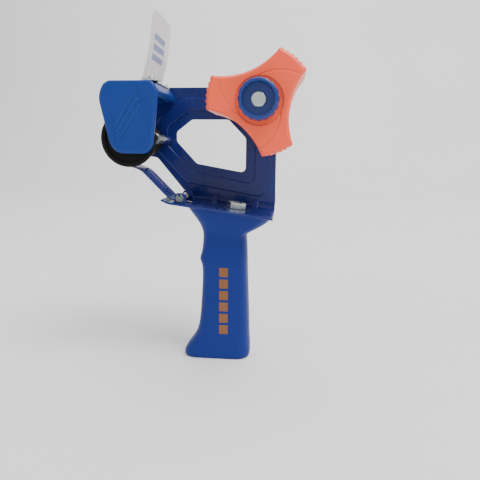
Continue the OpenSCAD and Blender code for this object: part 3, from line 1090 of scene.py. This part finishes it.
@dataclass
class Handle:
    """The moulded handle with its bolt, washer and nut.

    Attributes:
        corner: Corner radius of its sections.
        nut_slot: Size of the block that opens the nut's slot.
        nut_drop: The slot's depth below the flange.
        nut_reach: How far the block's middle is off the handle's.
        levels: Its outline from the base up, in millimetres.
    """

    corner: float = 9.5 * MM
    nut_slot: tuple[float, float, float] = (13.4 * MM, 40 * MM, 8.6 * MM)
    nut_drop: float = 51.7 * MM
    nut_reach: float = 12.1 * MM
    levels: tuple[Level, ...] = (
        Level(0, -24.6, 24.6, 27.2), Level(0.4, -25.6, 25.8, 29.4), Level(1.8, -26.4, 26.3, 30),
        Level(4.5, -26.4, 26.3, 30), Level(9, -23.4, 26.2, 29.7), Level(17, -17.4, 25.8, 29),
        Level(26, -14, 25.4, 28.2), Level(42, -12.7, 25, 27.6), Level(60, -11.7, 24.2, 27),
        Level(70, -11.4, 23.8, 27), Level(75.5, -11.9, 23.7, 27), Level(79, -13.5, 23.6, 27),
        Level(81, -13.7, 23.6, 27), Level(85, -12, 23.4, 27), Level(91, -11.2, 23.2, 27),
        Level(97, -10.8, 22.7, 27.2), Level(99.6, -10.9, 22.8, 27.6), Level(100.8, -11, 24.6, 28.2),
        Level(103.5, -11.5, 29.6, 30.5), Level(107, -12.8, 36, 33.6), Level(110.5, -14.9, 40.6, 36.6),
        Level(114.5, -17.8, 43, 39.4), Level(119, -21.2, 43.6, 41), Level(127, -27, 43.6, 42))

    def shaft(self) -> Piece:
        """Extrude the handle from its base through its levels.

        Returns:
            The open-topped handle.
        """
        first, step = self.levels[0], 0.2 * MM
        deselect()
        bpy.ops.mesh.primitive_cube_add(
            size=1, location=(first.middle * MM, 0, step / 2),
            scale=(first.length * MM, first.width * MM, step))
        piece = added("grip")
        round_chosen(piece, self.corner, 6,
                     lambda e: abs(e.verts[0].co.z - e.verts[1].co.z) > step / 2)
        with edit(piece):
            choose(piece, Mode.FACE, lambda f: f.normal.z > 0.9)
            rise = step
            for below, level in zip(self.levels, self.levels[1:]):
                shift = (level.middle - below.middle) * MM
                bpy.ops.mesh.extrude_region_move(
                    TRANSFORM_OT_translate={"value": (shift, 0, level.height * MM - rise)})
                rise = level.height * MM
                bpy.ops.transform.resize(
                    value=(level.length / below.length, level.width / below.width, 1),
                    center_override=(level.middle * MM, 0, rise))
        return piece

    def build(self) -> None:
        """Build the handle, cut it to the flange and open the nut's slot."""
        piece = self.shaft()
        modify(piece, "SUBSURF", levels=1, render_levels=1)
        under = RAIL.place(0, -RAIL.sheet)
        with edit(piece):
            bpy.ops.mesh.select_all(action="SELECT")
            bpy.ops.mesh.bisect(plane_co=under, plane_no=RAIL.normal, use_fill=True, clear_outer=True)
        slot = self.slot()
        pick(piece)
        modify(piece, "BOOLEAN", operation="DIFFERENCE", object=slot, solver="EXACT")
        bpy.data.objects.remove(slot)
        round_chosen(piece, 0.4 * MM, 2, lambda e: e.calc_face_angle(0.0) > SQUARE)
        shade(piece, 44)
        dress(piece, HANDLE_PLASTIC, Body.FRAME, "handle")
        for part in (Fitting("handle_bolt", "clamp_bolt", ZINC, Body.FRAME, 0.35 * MM, 3),
                     Fitting("handle_washer", "clamp_washer", ZINC, Body.FRAME),
                     Fitting("handle_nut", "clamp_nut", ZINC, Body.FRAME, 0.3 * MM)):
            part.build()

    def slot(self) -> Piece:
        """The block that the nut's slot is cut with.

        Returns:
            The block, in place.
        """
        middle = RAIL.place(RAIL.bolt, 0) + Vector((0, self.nut_reach, 0)) - RAIL.normal * self.nut_drop
        deselect()
        bpy.ops.mesh.primitive_cube_add(
            size=1, location=middle, rotation=(0, math.radians(RAIL.slope), 0), scale=self.nut_slot)
        return added("slot_block")


@dataclass
class Guard:
    """The moulded guard, its blade and their screws.

    Attributes:
        cheek: Rounding of the cheek's outer rim.
        edge: Rounding of every other edge.
        hone: How far the blade's teeth are ground back.
        grip: How far the grip lines stand proud of the cheek.
        tooth: Length of the blade's teeth.
    """

    cheek: float = 2.2 * MM
    edge: float = 0.35 * MM
    hone: float = 0.42 * MM
    grip: float = 0.6 * MM
    tooth: float = 3.4 * MM

    def build(self) -> None:
        """Build the guard and everything that it holds."""
        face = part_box("side_guard")[0][1] + self.grip

        def on_rim(edge: Any) -> bool:
            """Whether an edge is on the cheek's outer rim.

            Args:
                edge: The edge.

            Returns:
                True if it is.
            """
            flat = all(abs(v.co.y - face) < FLUSH for v in edge.verts)
            if not flat or len(edge.link_faces) != 2:
                return False
            walls = [f for f in edge.link_faces if abs(f.normal.y) < 0.5]
            if not walls:
                return False
            deep = max(v.co.y for f in walls for v in f.verts)
            return deep > face + 2 * MM

        piece = shell("side_guard", "blade_guard")
        round_chosen(piece, self.cheek, 5, on_rim)
        round_edges(piece, self.edge)
        shade(piece)
        dress(piece, GUARD_PLASTIC, Body.FRAME, "side_guard")
        self.build_blade()
        for part in (Fitting("guard_screws", "guard_screws_set", ZINC, Body.FRAME, 0.2 * MM),
                     Fitting("stud_post", "welded_post", FRAME_PAINT, Body.FRAME, 0.3 * MM),
                     Fitting("guide_stud", "guide_stud_pin", SHADED_ZINC, Body.FRAME, 0.3 * MM),
                     Fitting("blade_screws", "blade_screws_set", ZINC, Body.FRAME, 0.2 * MM)):
            part.build()

    def build_blade(self) -> None:
        """Build the blade, with its teeth ground to an edge on top."""
        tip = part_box("blade")[0][0]

        def on_tooth(edge: Any) -> bool:
            """Whether an edge is on a tooth's upper side.

            Args:
                edge: The edge.

            Returns:
                True if it is.
            """
            front = all(v.co.x < tip + self.tooth for v in edge.verts)
            along = abs(edge.verts[0].co.y - edge.verts[1].co.y) > 0.5 * MM
            upper = any(f.normal.z > 0.8 for f in edge.link_faces)
            return front and along and upper

        piece = shell("blade", "toothed_blade")
        round_chosen(piece, self.hone, 1, on_tooth)
        shade(piece, 25)
        dress(piece, BLADE_STEEL, Body.FRAME, "blade")


@dataclass
class Flap:
    """The frosted wiper flap and the strip that clamps it.

    Attributes:
        thickness: The sheet's thickness.
        fold: Radius of the sheet's fold.
        rise: Points up the flap, along X and Z.
        corner: Radius of its upper corners.
    """

    thickness: float = 0.6 * MM
    fold: float = 1.2 * MM
    rise: tuple[tuple[float, float], ...] = (
        (-50.2, 213.9), (-49.2, 217.4), (-47.7, 222.6), (-46.2, 228), (-45, 233), (-44, 238.4),
        (-43.3, 243.4), (-42.6, 248.6), (-41.9, 253.8), (-41.1, 259.6))
    corner: float = 5 * MM

    def path(self) -> list[Vector]:
        """The sheet's mid-line, from under the clamp to its top.

        Returns:
            Its points at Y 0.
        """
        low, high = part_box("flap_foot")
        level = (low[2] + high[2]) / 2
        centre = Vector((low[0] + 0.4 * MM, 0, level + self.fold))
        foot = [Vector((high[0], 0, level)), Vector((low[0] + 3 * MM, 0, level))]
        turn = [centre + self.fold * Vector((-math.sin(a), 0, -math.cos(a)))
                for a in (math.radians(15 * i) for i in range(7))]
        return foot + turn + [Vector((x * MM, 0, z * MM)) for x, z in self.rise]

    def build(self) -> None:
        """Build the sheet as one piece that bends at its fold."""
        low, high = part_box("flap")
        path = self.path()
        width = high[1] - low[1]
        deselect()
        bpy.ops.mesh.primitive_plane_add(size=MM, location=path[0])
        piece = added("wiper_flap")
        with edit(piece, Mode.EDGE):
            bpy.ops.mesh.select_all(action="SELECT")
            bpy.ops.transform.resize(value=(1, width / MM, 1), center_override=tuple(path[0]))
            bpy.ops.mesh.select_all(action="DESELECT")
            choose(piece, Mode.EDGE, lambda e: all(v.co.x < path[0].x for v in e.verts))
            here = path[0] - Vector((MM / 2, 0, 0))
            for point in path[1:]:
                bpy.ops.mesh.extrude_region_move(TRANSFORM_OT_translate={"value": tuple(point - here)})
                here = point
            bpy.ops.mesh.select_all(action="DESELECT")
            choose(piece, Mode.EDGE, lambda e: abs(e.verts[0].co.y - e.verts[1].co.y) > width / 2)
            bpy.ops.mesh.subdivide(number_cuts=9)
        with edit(piece, Mode.CORNER):
            top = path[-1].z - MM
            choose(piece, Mode.CORNER, lambda v: v.co.z > top and abs(v.co.y) > width / 2 - 0.1 * MM)
            bpy.ops.mesh.bevel(offset=self.corner * 0.8, segments=4, affect="VERTICES")
        modify(piece, "SOLIDIFY", thickness=self.thickness, offset=0.0)
        close_up(piece)
        round_edges(piece, 0.12 * MM, 1, 50)
        shade(piece, 50)
        dress(piece, FLAP_SHEET, None, "flap", "flap_foot")
        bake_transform(piece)
        for part in (Fitting("flap_clamp", "flap_clamp_strip", BLADE_STEEL, Body.FRAME, 0.2 * MM),
                     Fitting("flap_screws", "flap_screws_set", ZINC, Body.FRAME, 0.2 * MM)):
            part.build()


@dataclass
class HubAndBrake:
    """The lobed core hub, and the sprung knob and bolt that brake it.

    Attributes:
        wire: Thickness of the brake spring's wire.
        turns: How many turns it has.
    """

    wire: float = 1.6 * MM
    turns: int = 4

    def build(self) -> None:
        """Build the hub, the brake's stack and the knob."""
        for part in (Fitting("core_hub", "lobed_hub", HUB_PLASTIC, Body.HUB, 0.3 * MM),
                     Fitting("hub_bush", "hub_sleeve", NYLON, Body.HUB, 0.3 * MM),
                     Fitting("frame_nut", "weld_nut", ZINC, Body.FRAME, 0.3 * MM),
                     Fitting("hub_spacer", "brake_spacer", ZINC, Body.FRAME),
                     Fitting("backing_washer", "brake_backing", ZINC, Body.FRAME),
                     Fitting("friction_washer", "brake_lining", FIBRE, Body.FRAME, 0.12 * MM),
                     Fitting("pressure_washer", "spring_seat", ZINC, Body.FRAME),
                     Fitting("thrust_washer", "spring_cap", ZINC, Body.SLIDER),
                     Fitting("tension_knob", "brake_knob", KNOB_PLASTIC, Body.KNOB, 0.12 * MM),
                     Fitting("tension_bolt", "brake_bolt", ZINC, Body.KNOB, 0.25 * MM)):
            part.build()
        self.build_spring()

    def build_spring(self) -> None:
        """Wind the brake spring between its seat and its cap."""
        low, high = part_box("brake_spring")
        radius = (high[0] - low[0]) / 2 - self.wire / 2
        centre = Vector(((low[0] + high[0]) / 2, low[1] + self.wire / 2, (low[2] + high[2]) / 2))
        pitch = (high[1] - low[1] - self.wire) / self.turns
        piece = wound("brake_coil", centre, radius, self.wire, pitch, self.turns)
        shade(piece, 60)
        dress(piece, SPRING_WIRE, None, "brake_spring")
        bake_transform(piece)


@dataclass
class Roller:
    """The tape roller with its flanged core and ground rubber sleeve.

    Attributes:
        groove_pitch: Pitch of the grooves in the rubber.
        groove_depth: Their depth.
        lip: Chamfer of the rubber's ends, and half the width of a groove's mouth.
        floor: Half the width of a groove's floor.
        bore: Radius of the rubber's bore.
    """

    groove_pitch: float = 3.2 * MM
    groove_depth: float = 0.45 * MM
    lip: float = 0.5 * MM
    floor: float = 0.2 * MM
    bore: float = 9.5 * MM

    def build(self) -> None:
        """Build the core, the axle and the grooved sleeve."""
        for part in (Fitting("roller_core", "roller_barrel", BLACK_PLASTIC, Body.ROLLER, 0.45 * MM, 3),
                     Fitting("roller_axle", "roller_bolt", ZINC, Body.FRAME, 0.3 * MM),
                     Fitting("roller_axle_nut", "roller_nut", ZINC, Body.FRAME, 0.3 * MM),
                     Fitting("roller_spacer", "roller_collar", ZINC, Body.FRAME)):
            part.build()
        low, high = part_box("roller_sleeve")
        centre = Vector(((low[0] + high[0]) / 2, 0, (low[2] + high[2]) / 2))
        outer = (high[0] - low[0]) / 2
        start, length = low[1], high[1] - low[1]
        grooves = round(length / self.groove_pitch) - 1
        pitch = length / (grooves + 1)
        profile = [(start, self.bore), (start, outer - self.lip), (start + self.lip, outer)]
        for i in range(1, grooves + 1):
            middle = start + i * pitch
            profile += [(middle - self.lip, outer), (middle - self.floor, outer - self.groove_depth),
                        (middle + self.floor, outer - self.groove_depth), (middle + self.lip, outer)]
        end = start + length
        profile += [(end - self.lip, outer), (end, outer - self.lip), (end, self.bore)]
        piece = turned("rubber_sleeve", centre, profile, 96)
        shade(piece, 30)
        dress(piece, RUBBER, Body.ROLLER, "roller_sleeve")


@dataclass
class Tongue:
    """The sprung tongue with its pin, clips and torsion spring.

    Attributes:
        wire: Thickness of the spring's wire.
        turns: How many turns it has.
        arm: Length of the arm that lies along the flange.
        catch: Length of the arm that reaches for the tongue.
    """

    wire: float = 0.8 * MM
    turns: int = 6
    arm: float = 7 * MM
    catch: float = 3.4 * MM

    def build(self) -> None:
        """Build the tongue and its spring."""
        for part in (Fitting("tongue", "tape_tongue", FRAME_PAINT, Body.TONGUE, 0.2 * MM),
                     Fitting("tongue_pin", "tongue_hinge_pin", SHADED_ZINC, Body.FRAME, 0.3 * MM),
                     Fitting("pin_clips", "pin_clip_pair", SHADED_ZINC, Body.FRAME, 0.1 * MM, 1)):
            part.build()
        self.build_spring()

    def build_spring(self) -> None:
        """Wind the torsion spring and draw out its two arms."""
        low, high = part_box("tongue_spring")
        radius = (high[0] - low[0]) / 2 - self.wire / 2
        centre = Vector(((low[0] + high[0]) / 2, low[1] + self.wire / 2, (low[2] + high[2]) / 2))
        length = high[1] - low[1] - self.wire
        piece = wound("tongue_coil", centre, radius, self.wire, length / self.turns, self.turns, 90.0)
        near, far = centre.y + length / 4, centre.y + length * 3 / 4
        with edit(piece):
            choose(piece, Mode.FACE, lambda f: len(f.verts) > 6 and f.calc_center_median().y < near)
            bpy.ops.mesh.extrude_region_move(
                TRANSFORM_OT_translate={"value": (self.arm, 0, -self.arm * 0.2)})
            bpy.ops.mesh.select_all(action="DESELECT")
            choose(piece, Mode.FACE, lambda f: len(f.verts) > 6 and f.calc_center_median().y > far)
            bpy.ops.mesh.extrude_region_move(TRANSFORM_OT_translate={"value": (-self.catch, 0, 0)})
        shade(piece, 60)
        dress(piece, SPRING_WIRE, Body.FRAME, "tongue_spring")


# ---------- studio ----------


@dataclass
class Studio:
    """The pale sweep, the lights and the camera.

    Attributes:
        camera_place: Where the camera stands.
        turn: Its aim left of +Y, in degrees.
        tip: Its aim below the horizon, in degrees.
        roll: Its roll, in degrees.
        lens: Its focal length and its sensor's width, in millimetres.
        sweep: How far behind the object the floor curves up.
        floor: The floor's side.
        curve: Radius of the curve.
        steps: Steps across the curve.
        wall: How far the wall rises above the curve.
    """

    camera_place: tuple[float, float, float] = (0.0525, -0.3707, 0.1610)
    turn: float = 5.4
    tip: float = 10.2
    roll: float = 0.5
    lens: float = 36.0
    sweep: float = 1.5
    floor: float = 6
    curve: float = 0.9
    steps: int = 16
    wall: float = 2.5

    def build(self) -> None:
        """Set the scene."""
        self.build_camera()
        self.build_floor()
        self.light("key_softbox", (1.5, -0.8, 3.0), (0.0, 0.3, 0.14), 2.0, 150.0)
        self.light("left_fill", (-2.5, -1.7, 1.4), (0.0, 0.3, 0.14), 2.2, 24.0)
        self.light("front_fill", (0.5, -3.0, 0.7), (0.0, 0.0, 0.12), 1.6, 7.0)
        self.light("wall_wash", (0.0, 0.9, 2.4), (0.0, 2.2, 0.5), 1.6, 26.0)
        world = bpy.data.worlds.new("studio")
        bpy.context.scene.world = world
        world.use_nodes = True
        background = world.node_tree.nodes["Background"]
        background.inputs["Color"].default_value = (0.93, 0.94, 1.0, 1.0)
        background.inputs["Strength"].default_value = 0.6

    def build_camera(self) -> None:
        """Stand the camera."""
        data = bpy.data.cameras.new("camera")
        data.lens = self.lens
        data.sensor_width = self.lens
        data.clip_start = 0.01
        camera = bpy.data.objects.new("camera", data)
        bpy.context.scene.collection.objects.link(camera)
        aim = (Matrix.Rotation(math.radians(self.turn), 4, "Z")
               @ Matrix.Rotation(math.radians(90 - self.tip), 4, "X")
               @ Matrix.Rotation(math.radians(self.roll), 4, "Z"))
        camera.matrix_world = Matrix.Translation(self.camera_place) @ aim
        bpy.context.scene.camera = camera

    def build_floor(self) -> None:
        """Lay a pale floor that curves up into a wall behind the object."""
        deselect()
        bpy.ops.mesh.primitive_plane_add(size=self.floor, location=(0, self.sweep - self.floor / 2, 0))
        floor = added("pale_sweep")
        with edit(floor, Mode.EDGE):
            choose(floor, Mode.EDGE, lambda e: all(v.co.y > self.sweep - 0.01 for v in e.verts))
            for i in range(self.steps):
                a, b = (math.pi / 2 * k / self.steps for k in (i, i + 1))
                back, up = math.sin(b) - math.sin(a), math.cos(a) - math.cos(b)
                bpy.ops.mesh.extrude_region_move(
                    TRANSFORM_OT_translate={"value": (0, self.curve * back, self.curve * up)})
            bpy.ops.mesh.extrude_region_move(TRANSFORM_OT_translate={"value": (0, 0, self.wall)})
        shade(floor, 60)
        paper = bpy.data.materials.new("backdrop paper")
        paper.use_nodes = True
        nodes = Nodes(paper.node_tree)
        shader = nodes.add("ShaderNodeBsdfPrincipled")
        nodes.add("ShaderNodeOutputMaterial", {"Surface": shader.outputs[0]})
        patches = nodes.group(mottle(), Size=0.4).outputs[0]
        colour = nodes.blend(patches, (0.78, 0.78, 0.765, 1.0), (0.81, 0.81, 0.795, 1.0))
        nodes.tree.links.new(colour, shader.inputs["Base Color"])
        shader.inputs["Roughness"].default_value = 0.75
        floor.data.materials.append(paper)

    @staticmethod
    def light(name: str, place: Sequence[float], aim: Sequence[float], size: float, power: float) -> None:
        """Hang a soft square light.

        Args:
            name: The light's name.
            place: Where it hangs.
            aim: The point it faces.
            size: Its side.
            power: Its power in watts.
        """
        data = bpy.data.lights.new(name, "AREA")
        data.shape = "SQUARE"
        data.size = size
        data.energy = power
        lamp = bpy.data.objects.new(name, data)
        bpy.context.scene.collection.objects.link(lamp)
        facing = (Vector(aim) - Vector(place)).to_track_quat("-Z", "Y").to_matrix().to_4x4()
        lamp.matrix_world = Matrix.Translation(place) @ facing


def main() -> None:
    """Build the dispenser and its studio."""
    logging.basicConfig(level=logging.INFO, format="%(message)s")
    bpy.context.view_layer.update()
    Studio().build()
    SideFrame().build()
    Handle().build()
    Guard().build()
    Flap().build()
    HubAndBrake().build()
    Roller().build()
    Tongue().build()
    deselect()


if __name__ == "__main__":
    main()
